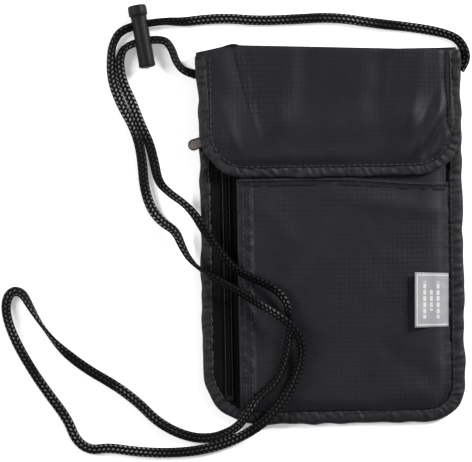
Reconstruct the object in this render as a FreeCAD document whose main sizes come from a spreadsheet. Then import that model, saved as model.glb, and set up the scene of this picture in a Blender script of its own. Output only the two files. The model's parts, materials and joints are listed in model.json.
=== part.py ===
"""Neck pouch wallet: a flat fabric pouch with a folding flap, a zip pocket, a slip pocket and a neck cord.

Frame: millimetres, +Z up. The pouch lies on its back on the plane z = 0, +Y towards the flap's fold and
+X to the wearer's side that has the label. The origin is the middle of the pouch's back face.
"""
import FreeCAD
import Part
import math
import os
import re

import Sketcher

doc = FreeCAD.newDocument("neck_pouch")

# ---------------------------------------------------------------- driving dimensions
SIZES = {
    "pouch_width": 140,
    "pouch_height": 200,
    "corner_left": 30,
    "corner_right": 20,
    "panel_fabric": 0.6,
    "lining_fabric": 0.4,
    "shield_film": 0.3,
    "binding_fabric": 0.4,
    "binding_width": 5,
    "edge_slack": 0.1,
    "seam_allowance": 0.4,
    "compartment_depth": 4.5,
    "zip_pocket_gap": 0.6,
    "slip_pocket_gap": 0.4,
    "seam_margin": 1,
    "panel_gap": 0.3,
    "fill_corner": 12,
    "mouth_setback": 5,
    "front_edge": 20,
    "backing_step": 3,
    "mouth_drop": 1,
    "hem_width": 4,
    "hem_fabric": 0.5,
    "flap_length": 69,
    "flap_corner": 25,
    "flap_clearance": 0.3,
    "fold_setback": 3.1,
    "hinge_level": 6.9,
    "patch_width": 60,
    "patch_height": 14,
    "patch_rise": 12,
    "loop_pile": 0.5,
    "zip_offset": 14,
    "zip_split": 1.2,
    "tape_fabric": 0.3,
    "coil_width": 1.6,
    "coil_height": 1.2,
    "zip_foot_gap": 11,
    "zip_head_gap": 36,
    "stop_length": 2.5,
    "slider_width": 7.6,
    "slider_length": 8.4,
    "slider_plate": 0.7,
    "slider_clearance": 0.4,
    "slider_parking": 6,
    "slider_wall": 0.6,
    "slider_post": 0.9,
    "bail_pitch": 4.4,
    "bail_leg": 0.7,
    "bail_room": 1.1,
    "puller_length": 20,
    "puller_thickness": 0.7,
    "puller_tip": 3,
    "puller_eye": 2.2,
    "eye_clearance": 0.3,
    "puller_angle": 200,
    "label_width": 18.5,
    "label_height": 28.5,
    "label_thickness": 0.4,
    "label_rise": 65,
    "cord_diameter": 3.5,
    "toggle_x": 99.2,
    "toggle_y": 108.2,
    "toggle_lean": 9,
    "barrel_diameter": 8.6,
    "barrel_length": 28.5,
    "toggle_length": 33,
    "barrel_floor": 2,
    "plunger_diameter": 5.4,
    "plunger_head": 8.4,
    "head_thickness": 2.1,
    "running_clearance": 0.05,
    "cord_clearance": 0.15,
    "press_travel": 2.2,
    "upper_hole": 22.6,
    "hole_pitch": 8.9,
    "spring_length": 6,
    "spring_wire": 0.5,
    "spring_diameter": 4.2,
    "spring_turns": 5,
}

sheet = doc.addObject("Spreadsheet::Sheet", "Size")
for row, (alias, number) in enumerate(SIZES.items(), start=1):
    sheet.set(f"A{row}", alias.replace("_", " "))
    sheet.set(f"B{row}", str(number))
    sheet.setAlias(f"B{row}", alias)
doc.recompute()


def bound(words):
    """An expression on the sheet, from one that names its cells by their aliases alone."""
    return re.sub(r"[a-z_]+", lambda m: "Size." + m[0] if m[0] in SIZES else m[0], str(words))


def value(words):
    """The number that an expression on the sheet comes to."""
    return float(sheet.evalExpression(bound(words)))


# ---------------------------------------------------------------- sketches and features
def plane(body, role):
    return next(f for f in body.Origin.OriginFeatures if f.Role == role)


def sketch_on(body, role, offset):
    sketch = body.newObject("Sketcher::SketchObject", "outline")
    sketch.AttachmentSupport = [(plane(body, role), "")]
    sketch.MapMode = "FlatFace"
    sketch.setExpression("AttachmentOffset.Base.z", bound(offset))
    return sketch


def pin_point(sketch, geometry, position, x, y):
    """Hold a point at its two sheet values."""
    for kind, where in (("DistanceX", x), ("DistanceY", y)):
        number = value(where)
        if abs(number) < 1e-9:
            axis = -2 if kind == "DistanceX" else -1
            sketch.addConstraint(Sketcher.Constraint("PointOnObject", geometry, position, axis))
            continue
        index = sketch.addConstraint(Sketcher.Constraint(kind, -1, 1, geometry, position, number))
        sketch.setExpression(f"Constraints[{index}]", bound(where))


def draw_polygon(sketch, corners):
    """A closed outline through the corners (x, y, radius), anticlockwise; radius 0 is sharp."""
    count = len(corners)
    points = [FreeCAD.Vector(value(x), value(y), 0) for x, y, _ in corners]
    radii = [value(r) for _, _, r in corners]
    leave, arrive, arcs = [None] * count, [None] * count, [None] * count
    for i, point in enumerate(points):
        back = (points[i - 1] - point).normalize()
        ahead = (points[(i + 1) % count] - point).normalize()
        arrive[i] = leave[i] = point
        if radii[i]:
            half = back.getAngle(ahead) / 2
            reach = radii[i] / math.tan(half)
            arrive[i], leave[i] = point + back * reach, point + ahead * reach
            centre = point + (back + ahead).normalize() * (radii[i] / math.sin(half))
            turns_left = back.cross(ahead).z < 0
            first, last = (arrive[i], leave[i]) if turns_left else (leave[i], arrive[i])
            start, end = (math.atan2(p.y - centre.y, p.x - centre.x) for p in (first, last))
            circle = Part.Circle(centre, FreeCAD.Vector(0, 0, 1), radii[i])
            arcs[i] = (sketch.addGeometry(Part.ArcOfCircle(circle, start, end)), turns_left)
    lines = [sketch.addGeometry(Part.LineSegment(leave[i], arrive[(i + 1) % count])) for i in range(count)]
    for i, (x, y, radius) in enumerate(corners):
        before, after = lines[i - 1], lines[i]
        if arcs[i] is None:
            sketch.addConstraint(Sketcher.Constraint("Coincident", before, 2, after, 1))
            pin_point(sketch, after, 1, x, y)
            continue
        arc, turns_left = arcs[i]
        entry, leaving = (1, 2) if turns_left else (2, 1)
        corner = sketch.addGeometry(Part.Point(points[i]), True)
        pin_point(sketch, corner, 1, x, y)
        sketch.addConstraint(Sketcher.Constraint("PointOnObject", corner, 1, before))
        sketch.addConstraint(Sketcher.Constraint("PointOnObject", corner, 1, after))
        sketch.addConstraint(Sketcher.Constraint("Tangent", before, 2, arc, entry))
        sketch.addConstraint(Sketcher.Constraint("Tangent", arc, leaving, after, 1))
        index = sketch.addConstraint(Sketcher.Constraint("Radius", arc, radii[i]))
        sketch.setExpression(f"Constraints[{index}]", bound(radius))


def draw_circle(sketch, x, y, radius):
    circle = Part.Circle(FreeCAD.Vector(value(x), value(y), 0), FreeCAD.Vector(0, 0, 1), value(radius))
    index = sketch.addGeometry(circle)
    pin_point(sketch, index, 3, x, y)
    hold = sketch.addConstraint(Sketcher.Constraint("Radius", index, value(radius)))
    sketch.setExpression(f"Constraints[{hold}]", bound(radius))


def draw(sketch, outline):
    if isinstance(outline[0], str) and outline[0] == "circle":
        draw_circle(sketch, *outline[1:])
    else:
        draw_polygon(sketch, outline)


def new_body(name):
    body = doc.addObject("PartDesign::Body", name)
    body.Label = name
    return body


def pad(body, outline, low, high):
    """Add the outline's prism between two levels."""
    sketch = sketch_on(body, "XY_Plane", low)
    draw(sketch, outline)
    feature = body.newObject("PartDesign::Pad", "pad")
    feature.Profile = sketch
    feature.setExpression("Length", bound(f"({high}) - ({low})"))
    return feature


def pocket(body, outline, low, high):
    """Cut the outline's prism between two levels, downwards from the upper one."""
    sketch = sketch_on(body, "XY_Plane", high)
    draw(sketch, outline)
    feature = body.newObject("PartDesign::Pocket", "pocket")
    feature.Profile = sketch
    feature.setExpression("Length", bound(f"({high}) - ({low})"))
    return feature


def cross_pocket(body, outline, width):
    """Cut the outline, drawn in the body's YZ plane, right across the body along X."""
    sketch = sketch_on(body, "YZ_Plane", "0")
    draw(sketch, outline)
    feature = body.newObject("PartDesign::Pocket", "cross_pocket")
    feature.Profile = sketch
    feature.Midplane = True
    feature.setExpression("Length", bound(width))
    return feature


def box_outline(left, right, bottom, top, radius="0"):
    return [(left, bottom, radius), (right, bottom, radius), (right, top, radius), (left, top, radius)]


# ---------------------------------------------------------------- shared places and levels
LEFT, RIGHT = "-pouch_width / 2", "pouch_width / 2"
FOOT, HEAD = "-pouch_height / 2", "pouch_height / 2"
BEYOND = "pouch_height"
SEAM_TOP = f"{HEAD} - fold_setback"

SEAM_EDGE = "(binding_fabric + edge_slack)"
BACK_FLANGE = "binding_fabric"
DIVIDER_FLANGE = f"{BACK_FLANGE} + panel_fabric"
BACKING_FLANGE = f"{DIVIDER_FLANGE} + lining_fabric + seam_allowance"
FRONT_FLANGE = f"{BACKING_FLANGE} + lining_fabric + seam_allowance"
BINDING_TOP = f"{FRONT_FLANGE} + panel_fabric + binding_fabric"

SHIELD_TOP = "panel_fabric + shield_film"
DIVIDER_PLATE = f"{SHIELD_TOP} + compartment_depth"
BACKING_PLATE = f"{DIVIDER_PLATE} + lining_fabric + zip_pocket_gap"
BACKING_TOP = f"{BACKING_PLATE} + lining_fabric"
FRONT_PLATE = f"{BACKING_TOP} + slip_pocket_gap"
FRONT_TOP = f"{FRONT_PLATE} + panel_fabric"

FLAP_BASE = f"{FRONT_TOP} + flap_clearance"
FLAP_LINING = f"{FLAP_BASE} + binding_fabric"
FLAP_OUTER = f"{FLAP_LINING} + lining_fabric"
FLAP_FACE = f"{FLAP_OUTER} + panel_fabric"
FLAP_TOP = f"{FLAP_FACE} + binding_fabric"
FLAP_FOOT = f"{HEAD} - flap_length"

ZIP_MIDDLE = f"{LEFT} + zip_offset"
TAPE_TOP = f"{FRONT_FLANGE} + panel_fabric"
TAPE_LOW = f"{TAPE_TOP} - tape_fabric"
COIL_TOP = f"{TAPE_TOP} + coil_height"
PANEL_LEFT = f"{LEFT} + front_edge"

SEAM_INSET = "(binding_width + seam_margin)"
SLIP_MOUTH = f"{FLAP_FOOT} - mouth_drop"
ZIP_FOOT = f"{FOOT} + binding_width + zip_foot_gap"
ZIP_HEAD = f"{HEAD} - zip_head_gap"
SLIDER_REST = f"{ZIP_HEAD} - slider_parking"
LABEL_MIDDLE = f"{FOOT} + label_rise"


def pouch_outline(inset, top, radius_left=None, radius_right=None, left=None):
    """The pouch's outline, drawn in by an inset on all sides but the top, with both bottom corners round."""
    start = left or f"{LEFT} + {inset}"
    return [
        (start, f"{FOOT} + {inset}", radius_left or f"corner_left - {inset}"),
        (f"{RIGHT} - {inset}", f"{FOOT} + {inset}", radius_right or f"corner_right - {inset}"),
        (f"{RIGHT} - {inset}", top, "0"),
        (start, top, "0"),
    ]


def filled_outline(inset, top, left):
    """The outline of the part of a panel that stands over the filled pockets."""
    return pouch_outline(inset, top, "fill_corner", "fill_corner", left)


def tray(name, flange_outline, flange, plate, fabric, inset, top, left):
    """A panel whose middle stands up as a tray over a pocket, and whose flange is in the edge binding."""
    body = new_body(name)
    pad(body, flange_outline, flange, f"{flange} + {fabric}")
    pad(body, filled_outline(inset, top, left), flange, f"{plate} + {fabric}")
    pocket(body, filled_outline(f"({inset} + {fabric})", BEYOND, f"{left} + {fabric}"), flange, plate)
    return body


# ---------------------------------------------------------------- pouch panels
def make_back_panel():
    """The back: its middle lies on the table, and its rim steps up to let the binding pass beneath."""
    body = new_body("back_panel")
    inset = "(binding_width + panel_gap)"
    pad(body, pouch_outline(SEAM_EDGE, HEAD), BACK_FLANGE, f"{BACK_FLANGE} + panel_fabric")
    pad(body, pouch_outline(inset, HEAD), "0", f"{BACK_FLANGE} + panel_fabric")
    hollow = pouch_outline(f"({inset} + panel_fabric)", BEYOND)
    pocket(body, hollow, "panel_fabric", f"{BACK_FLANGE} + panel_fabric")


DIVIDER_INSET = f"({SEAM_INSET} + panel_fabric + lining_fabric + 2 * panel_gap)"
BACKING_INSET = f"({SEAM_INSET} + panel_fabric + panel_gap)"
BACKING_LEFT = f"{PANEL_LEFT} + panel_fabric + backing_step"
DIVIDER_LEFT = f"{BACKING_LEFT} + lining_fabric + panel_gap"
MOUTH = f"{HEAD} - mouth_setback"


def make_shielding_layer():
    """The signal-blocking film, laid on the back panel inside the main compartment."""
    body = new_body("shielding_layer")
    inset = f"({DIVIDER_INSET} + lining_fabric + panel_gap)"
    outline = filled_outline(inset, MOUTH, f"{DIVIDER_LEFT} + lining_fabric + panel_gap")
    pad(body, outline, "panel_fabric", SHIELD_TOP)


def make_panels():
    seam = pouch_outline(SEAM_EDGE, MOUTH)
    tray("divider_panel", seam, DIVIDER_FLANGE, DIVIDER_PLATE, "lining_fabric", DIVIDER_INSET, MOUTH,
         DIVIDER_LEFT)
    open_seam = pouch_outline(SEAM_EDGE, MOUTH, "fill_corner", None, PANEL_LEFT)
    tray("pocket_backing", open_seam, BACKING_FLANGE, BACKING_PLATE, "lining_fabric", BACKING_INSET, MOUTH,
         BACKING_LEFT)
    front_seam = pouch_outline(SEAM_EDGE, SLIP_MOUTH, "fill_corner", None, PANEL_LEFT)
    tray("front_panel", front_seam, FRONT_FLANGE, FRONT_PLATE, "panel_fabric", SEAM_INSET, SLIP_MOUTH,
         PANEL_LEFT)


def make_front_hem():
    """The turned hem along the slip pocket's mouth."""
    body = new_body("front_hem")
    outline = box_outline(PANEL_LEFT, f"{RIGHT} - {SEAM_INSET}", f"{SLIP_MOUTH} - hem_width", SLIP_MOUTH)
    pad(body, outline, FRONT_TOP, f"{FRONT_TOP} + hem_fabric")


def binding(name, outlines, low, high, beyond):
    """A folded tape round three sides: an outer wall with a lip above and below the sewn edges."""
    body = new_body(name)
    outer, slot, window = outlines
    pad(body, outer, low, high)
    pocket(body, slot, f"{low} + binding_fabric", f"{high} - binding_fabric")
    pocket(body, window, f"{low} - {beyond}", f"{high} + {beyond}")


def make_edge_binding():
    outlines = (
        pouch_outline("0", SEAM_TOP, "corner_left", "corner_right"),
        pouch_outline("binding_fabric", BEYOND),
        pouch_outline("binding_width", BEYOND),
    )
    binding("edge_binding", outlines, "0", BINDING_TOP, "binding_width")


def make_woven_label():
    """The small grey label, caught in the right-hand seam."""
    body = new_body("woven_label")
    right = f"{RIGHT} - {SEAM_INSET} - panel_fabric"
    outline = box_outline(f"{right} - label_width", right, f"{LABEL_MIDDLE} - label_height / 2",
                          f"{LABEL_MIDDLE} + label_height / 2")
    pad(body, outline, FRONT_TOP, f"{FRONT_TOP} + label_thickness")


# ---------------------------------------------------------------- flap
def flap_outline(inset, top):
    return [
        (f"{LEFT} + {inset}", f"{FLAP_FOOT} + {inset}", f"flap_corner - {inset}"),
        (f"{RIGHT} - {inset}", f"{FLAP_FOOT} + {inset}", f"flap_corner - {inset}"),
        (f"{RIGHT} - {inset}", top, "0"),
        (f"{LEFT} + {inset}", top, "0"),
    ]


def make_flap():
    edge = "(binding_fabric * 2)"
    pad(new_body("flap_lining"), flap_outline(edge, SEAM_TOP), FLAP_LINING, FLAP_OUTER)
    pad(new_body("flap_outer"), flap_outline(edge, SEAM_TOP), FLAP_OUTER, FLAP_FACE)
    outlines = (
        flap_outline("binding_fabric", SEAM_TOP),
        flap_outline(edge, BEYOND),
        flap_outline("binding_width", BEYOND),
    )
    binding("flap_binding", outlines, FLAP_BASE, FLAP_TOP, "binding_width")


def make_flap_fold():
    """The flap's fabric where it turns down over the pouch's mouth to the back panel's top edge."""
    body = new_body("flap_fold")
    sketch = sketch_on(body, "YZ_Plane", f"{LEFT} + binding_fabric * 2")
    outer = f"{FLAP_FACE} - hinge_level"
    inner = f"{FLAP_OUTER} - hinge_level"
    foot = f"{BACK_FLANGE} + panel_fabric"
    corners = [
        (f"{SEAM_TOP} + {inner}", foot, "0"),
        (f"{SEAM_TOP} + {outer}", foot, "0"),
        (f"{SEAM_TOP} + {outer}", FLAP_FACE, f"{outer} - 0.01"),
        (SEAM_TOP, FLAP_FACE, "0"),
        (SEAM_TOP, FLAP_OUTER, "0"),
        (f"{SEAM_TOP} + {inner}", FLAP_OUTER, f"{inner} - 0.01"),
    ]
    draw_polygon(sketch, corners)
    feature = body.newObject("PartDesign::Pad", "pad")
    feature.Profile = sketch
    feature.setExpression("Length", bound("pouch_width - binding_fabric * 4"))


def make_closure():
    """Hook strip under the flap, and the loop strip that it meets on the pocket backing."""
    low = f"{FLAP_FOOT} + patch_rise"
    outline = box_outline("-patch_width / 2", "patch_width / 2", low, f"{low} + patch_height")
    pad(new_body("loop_strip"), outline, BACKING_TOP, f"{BACKING_TOP} + loop_pile")
    pad(new_body("hook_strip"), outline, f"{BACKING_TOP} + loop_pile + flap_clearance", FLAP_LINING)


# ---------------------------------------------------------------- zip
def make_zip():
    seam = pouch_outline(SEAM_EDGE, MOUTH)
    split_left, split_right = f"{ZIP_MIDDLE} - zip_split / 2", f"{ZIP_MIDDLE} + zip_split / 2"
    tape_left = new_body("zip_tape_left")
    pad(tape_left, seam, TAPE_LOW, TAPE_TOP)
    pocket(tape_left, box_outline(split_left, BEYOND, f"-{BEYOND}", BEYOND), TAPE_LOW, TAPE_TOP)
    tape_right = new_body("zip_tape_right")
    pad(tape_right, seam, TAPE_LOW, TAPE_TOP)
    pocket(tape_right, box_outline(f"-{BEYOND}", split_right, f"-{BEYOND}", BEYOND), TAPE_LOW, TAPE_TOP)
    sewn_edge = f"{PANEL_LEFT} - panel_gap"
    pocket(tape_right, box_outline(sewn_edge, BEYOND, f"-{BEYOND}", BEYOND), TAPE_LOW, TAPE_TOP)
    for side, left, right in (("left", f"{split_left} - coil_width", split_left),
                              ("right", split_right, f"{split_right} + coil_width")):
        pad(new_body(f"zip_coil_{side}"), box_outline(left, right, ZIP_FOOT, ZIP_HEAD), TAPE_TOP, COIL_TOP)
        stop = box_outline(left, right, ZIP_HEAD, f"{ZIP_HEAD} + stop_length")
        pad(new_body(f"zip_top_stop_{side}"), stop, TAPE_TOP, COIL_TOP)
    foot = box_outline(f"{split_left} - coil_width", f"{split_right} + coil_width",
                       f"{ZIP_FOOT} - stop_length", ZIP_FOOT)
    pad(new_body("zip_bottom_stop"), foot, TAPE_TOP, COIL_TOP)


SLIDER_LOW = f"{TAPE_LOW} - slider_clearance - slider_plate"
SLIDER_ROOF = f"{COIL_TOP} + slider_clearance"
SLIDER_TOP = f"{SLIDER_ROOF} + slider_plate"
BAIL_TOP = f"{SLIDER_TOP} + bail_room + slider_plate"
PULLER_LEVEL = f"{SLIDER_TOP} + (bail_room - puller_thickness) / 2"
PIVOT_Y = f"{SLIDER_REST} - bail_pitch / 2"


def make_slider():
    """Two plates joined by the post that parts the coils, side walls over them, and a bail for the puller."""
    body = new_body("zip_slider")
    half = "slider_width / 2"
    low, high = f"{SLIDER_REST} - slider_length / 2", f"{SLIDER_REST} + slider_length / 2"
    plan = box_outline(f"{ZIP_MIDDLE} - {half}", f"{ZIP_MIDDLE} + {half}", low, high, "slider_width / 5")
    post = box_outline(f"{ZIP_MIDDLE} - slider_post / 2", f"{ZIP_MIDDLE} + slider_post / 2",
                       f"{SLIDER_REST} + slider_length / 8", high)
    pad(body, plan, SLIDER_LOW, f"{SLIDER_LOW} + slider_plate")
    pad(body, post, SLIDER_LOW, SLIDER_TOP)
    pad(body, plan, SLIDER_ROOF, SLIDER_TOP)
    for start in (f"{ZIP_MIDDLE} - {half}", f"{ZIP_MIDDLE} + {half} - slider_wall"):
        wall = box_outline(start, f"{start} + slider_wall", f"{low} + slider_width / 5",
                           f"{high} - slider_width / 5")
        pad(body, wall, f"{TAPE_TOP} + slider_clearance / 2", SLIDER_TOP)
    for y in (PIVOT_Y, f"{SLIDER_REST} + bail_pitch / 2"):
        pad(body, ("circle", ZIP_MIDDLE, y, "bail_leg"), SLIDER_ROOF, BAIL_TOP)
    bar = box_outline(f"{ZIP_MIDDLE} - bail_leg", f"{ZIP_MIDDLE} + bail_leg", f"{PIVOT_Y} - bail_leg",
                      f"{SLIDER_REST} + bail_pitch / 2 + bail_leg")
    pad(body, bar, f"{SLIDER_TOP} + bail_room", BAIL_TOP)


def make_puller():
    """The flat pull tab: an eye round the bail's lower leg, widening to a round tip."""
    body = new_body("zip_puller")
    reach = "puller_length + puller_tip - bail_pitch / 2"
    corners = [
        ("-puller_eye", "-puller_eye", "puller_eye * 0.95"),
        (reach, "-puller_tip", "puller_tip * 0.95"),
        (reach, "puller_tip", "puller_tip * 0.95"),
        ("-puller_eye", "puller_eye", "puller_eye * 0.95"),
    ]
    pad(body, corners, "0", "puller_thickness")
    pocket(body, ("circle", "0", "0", "bail_leg + eye_clearance"), "0", "puller_thickness")
    spot = FreeCAD.Vector(value(ZIP_MIDDLE), value(PIVOT_Y), value(PULLER_LEVEL))
    body.Placement = FreeCAD.Placement(spot, FreeCAD.Rotation(FreeCAD.Vector(0, 0, 1), value("puller_angle")))


# ---------------------------------------------------------------- toggle
LOWER_HOLE = "upper_hole - hole_pitch"
HOLE_RADIUS = "cord_diameter / 2 + cord_clearance"
ROD_FOOT = "barrel_floor + spring_length"


def toggle_placement():
    """From the toggle's own frame, with Z along the barrel and X along its cord holes, to where it lies."""
    lean = FreeCAD.Rotation(FreeCAD.Vector(0, 0, 1), value("toggle_lean"))
    turn = lean * FreeCAD.Rotation(FreeCAD.Vector(1, 0, 0), -90)
    middle = FreeCAD.Vector(-value("toggle_x"), value("toggle_y"), value("barrel_diameter / 2"))
    foot = turn.multVec(FreeCAD.Vector(0, 0, -value("toggle_length / 2")))
    return FreeCAD.Placement(middle + foot, turn)


def make_toggle_barrel():
    body = new_body("toggle_barrel")
    pad(body, ("circle", "0", "0", "barrel_diameter / 2"), "0", "barrel_length")
    bore = "plunger_diameter / 2 + running_clearance"
    pocket(body, ("circle", "0", "0", bore), "barrel_floor", "barrel_length")
    for level in (LOWER_HOLE, "upper_hole"):
        cross_pocket(body, ("circle", "0", level, HOLE_RADIUS), "barrel_diameter * 2")
    body.Placement = toggle_placement()


def make_toggle_plunger():
    """The sprung rod inside the barrel, slotted where the two strands pass, with a thumb head."""
    body = new_body("toggle_plunger")
    pad(body, ("circle", "0", "0", "plunger_diameter / 2"), ROD_FOOT, "toggle_length")
    pad(body, ("circle", "0", "0", "plunger_head / 2"), "toggle_length - head_thickness", "toggle_length")
    for level in (LOWER_HOLE, "upper_hole"):
        slot = box_outline(f"-({HOLE_RADIUS})", HOLE_RADIUS, f"{level} - ({HOLE_RADIUS})",
                           f"{level} + ({HOLE_RADIUS}) + press_travel", f"({HOLE_RADIUS}) * 0.9")
        cross_pocket(body, slot, "barrel_diameter * 2")
    body.Placement = toggle_placement()


def make_toggle_spring():
    """The coil spring between the barrel's floor and the rod's foot."""
    radius, wire = value("spring_diameter / 2"), value("spring_wire")
    rise = value("spring_length - 1.2 * spring_wire")
    helix = Part.makeHelix(rise / value("spring_turns"), rise, radius)
    ring = Part.Wire([Part.makeCircle(wire / 2, FreeCAD.Vector(radius, 0, 0), FreeCAD.Vector(0, 1, 0))])
    body = doc.addObject("Part::Feature", "toggle_spring")
    body.Label = "toggle_spring"
    body.Shape = Part.Wire(helix.Edges).makePipeShell([ring], True, True)
    seat = FreeCAD.Vector(0, 0, value("barrel_floor + 0.6 * spring_wire"))
    lift = FreeCAD.Placement(seat, FreeCAD.Rotation())
    body.Placement = toggle_placement().multiply(lift)


# ---------------------------------------------------------------- neck cord
# Corner points of the cord's centreline, from the right-hand seam round to the left-hand seam.
CORD_ROUTE = [
    (69.7, 87.5, 1.9), (73.2, 92.0, 1.9), (72.6, 98.5, 1.8), (68.5, 104.5, 1.8), (60.0, 107.7, 1.8),
    (45.0, 110.6, 1.8), (25.0, 113.0, 1.8), (3.0, 116.9, 1.8), (-22.0, 115.8, 1.8), (-39.0, 115.6, 1.8),
    (-54.0, 117.2, 1.8), (-67.0, 116.6, 1.8), (-77.5, 115.4, 2.8), (-88.0, 116.1, 4.3),
    (-109.2, 112.8, 4.3), (-115.2, 104.6, 3.0), (-116.2, 94.5, 1.8), (-115.2, 83.0, 1.8),
    (-110.6, 71.0, 1.8), (-105.5, 61.8, 1.8), (-101.9, 52.0, 1.8), (-100.3, 41.0, 1.8),
    (-99.6, 28.0, 1.8), (-96.3, 16.5, 1.8), (-90.5, 9.0, 2.2), (-83.0, 4.2, 5.2), (-79.6, -4.5, 8.8),
    (-75.0, -12.6, 9.4), (-65.5, -20.0, 9.6), (-55.9, -25.0, 9.9), (-45.5, -31.2, 10.4),
    (-36.5, -37.0, 12.4), (-28.6, -41.8, 14.4), (-20.4, -48.8, 14.4), (-17.0, -58.0, 11.8),
    (-18.2, -68.0, 10.2), (-22.2, -78.4, 10.0), (-28.0, -87.8, 10.2), (-36.0, -96.6, 9.8),
    (-46.0, -103.8, 4.6), (-57.0, -109.2, 1.8), (-72.0, -113.2, 1.8), (-91.0, -114.2, 1.8),
    (-108.0, -112.9, 1.8), (-121.0, -110.6, 1.8), (-131.0, -112.0, 1.8), (-138.4, -106.4, 1.8),
    (-142.6, -95.0, 1.8), (-151.8, -82.4, 1.8), (-160.0, -70.4, 1.8), (-168.6, -55.2, 1.8),
    (-173.8, -42.0, 1.8), (-174.6, -32.0, 1.8), (-171.0, -26.0, 1.8), (-165.4, -27.2, 1.8),
    (-161.4, -34.8, 1.8), (-155.0, -45.6, 1.8), (-145.5, -57.8, 1.8), (-132.0, -68.6, 1.8),
    (-117.0, -77.4, 1.8), (-105.0, -86.6, 1.8), (-94.0, -98.2, 1.8), (-79.5, -105.6, 1.8),
    (-66.0, -107.0, 1.8), (-55.5, -103.3, 2.0), (-49.4, -97.9, 6.4), (-45.2, -91.0, 10.6),
    (-40.6, -84.0, 10.4), (-31.5, -77.2, 10.0), (-26.5, -67.0, 10.0), (-24.2, -55.4, 10.0),
    (-23.2, -44.0, 9.9), (-24.4, -35.0, 9.9), (-30.4, -27.4, 9.9), (-40.5, -22.4, 9.9),
    (-51.0, -17.6, 9.9), (-58.0, -9.6, 9.8), (-65.4, 0.1, 9.6), (-71.5, 11.2, 9.4), (-78.0, 18.6, 8.4),
    (-86.0, 24.2, 4.0), (-92.0, 30.5, 1.8), (-94.0, 41.0, 1.8), (-96.2, 51.0, 1.8), (-101.2, 62.0, 1.8),
    (-105.1, 73.1, 1.8), (-110.4, 84.4, 1.8), (-112.0, 95.8, 2.8), (-107.9, 104.0, 4.3),
    (-88.0, 107.1, 4.3), (-83.4, 101.4, 3.0), (-81.4, 94.2, 1.9), (-76.8, 88.6, 1.9), (-69.8, 87.3, 1.9),
]


def cord_wire(points, ratio=0.45):
    """Straight runs joined by tangent arcs, each as large as its two runs allow."""
    points = [FreeCAD.Vector(*p) for p in points]
    edges, radii, start = [], [], points[0]
    for before, point, after in zip(points, points[1:], points[2:]):
        back, ahead = before - point, after - point
        reach = ratio * min(back.Length, ahead.Length)
        back.normalize()
        ahead.normalize()
        half_turn = (math.pi - back.getAngle(ahead)) / 2
        radii.append(reach / math.tan(half_turn))
        enter, leave = point + back * reach, point + ahead * reach
        inward = (back + ahead).normalize()
        middle = point + inward * (radii[-1] / math.cos(half_turn) - radii[-1])
        edges += [Part.LineSegment(start, enter).toShape(), Part.Arc(enter, middle, leave).toShape()]
        start = leave
    edges.append(Part.LineSegment(start, points[-1]).toShape())
    return Part.Wire(edges), radii


def make_neck_cord():
    wire, radii = cord_wire(CORD_ROUTE)
    start, ahead = FreeCAD.Vector(*CORD_ROUTE[0]), FreeCAD.Vector(*CORD_ROUTE[1])
    ring = Part.Wire([Part.makeCircle(value("cord_diameter / 2"), start, ahead - start)])
    body = doc.addObject("Part::Feature", "neck_cord")
    body.Label = "neck_cord"
    body.Shape = wire.makePipeShell([ring], True, False)
    section = math.pi * value("cord_diameter / 2") ** 2
    print("cord length %.1f mm, volume / (section x length) %.4f" % (
        wire.Length, body.Shape.Volume / (section * wire.Length)))
    print("cord radii mm:", " ".join("%.0f" % r for r in radii))


make_back_panel()
make_shielding_layer()
make_panels()
make_front_hem()
make_edge_binding()
make_woven_label()
make_flap()
make_flap_fold()
make_closure()
make_zip()
make_slider()
make_puller()
make_toggle_barrel()
make_toggle_plunger()
make_toggle_spring()
make_neck_cord()

doc.recompute()

# ---------------------------------------------------------------- checks and files
for item in doc.Objects:
    if {"Invalid", "Error"} & set(item.State):
        raise RuntimeError(f"{item.Label} ({item.Name}) failed: {item.State}")

subparts = [item for item in doc.Objects if item.TypeId in ("PartDesign::Body", "Part::Feature")]
os.makedirs("parts", exist_ok=True)
for item in subparts:
    if item.Shape.isNull() or not item.Shape.isValid():
        raise RuntimeError(f"{item.Label} has no valid shape")
for item in subparts:
    item.Shape.exportStep(f"parts/{item.Label}.step")
print(len(subparts), "parts written")
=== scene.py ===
"""The look of the neck pouch wallet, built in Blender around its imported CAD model.

Lengths below are millimetres in the row frame, and metres() turns them into Blender's metres. The pouch lies
on its back on z = 0, with +Y towards the flap's fold.
"""
import json
import math

import bpy
import numpy as np
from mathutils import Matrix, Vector, noise


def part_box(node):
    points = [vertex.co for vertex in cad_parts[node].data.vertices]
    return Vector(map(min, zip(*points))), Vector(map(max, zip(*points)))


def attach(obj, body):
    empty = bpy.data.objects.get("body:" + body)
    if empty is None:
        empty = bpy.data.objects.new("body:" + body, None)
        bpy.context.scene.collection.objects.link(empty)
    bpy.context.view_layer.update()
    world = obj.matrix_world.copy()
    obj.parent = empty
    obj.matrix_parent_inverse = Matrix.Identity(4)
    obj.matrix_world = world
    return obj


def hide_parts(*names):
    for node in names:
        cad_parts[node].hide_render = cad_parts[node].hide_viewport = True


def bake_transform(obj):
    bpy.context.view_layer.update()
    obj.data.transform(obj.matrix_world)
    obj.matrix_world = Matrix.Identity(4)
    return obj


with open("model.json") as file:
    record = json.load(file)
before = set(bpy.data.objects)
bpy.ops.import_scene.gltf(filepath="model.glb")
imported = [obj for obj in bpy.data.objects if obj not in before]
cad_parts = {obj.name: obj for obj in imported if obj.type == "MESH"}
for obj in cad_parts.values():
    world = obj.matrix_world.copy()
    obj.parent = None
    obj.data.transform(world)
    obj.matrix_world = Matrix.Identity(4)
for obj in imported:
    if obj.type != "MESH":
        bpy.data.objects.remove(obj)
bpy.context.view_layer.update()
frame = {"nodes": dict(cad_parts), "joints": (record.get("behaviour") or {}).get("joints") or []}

MM = 0.001


def metres(points):
    return np.asarray(points, float) * MM


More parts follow.
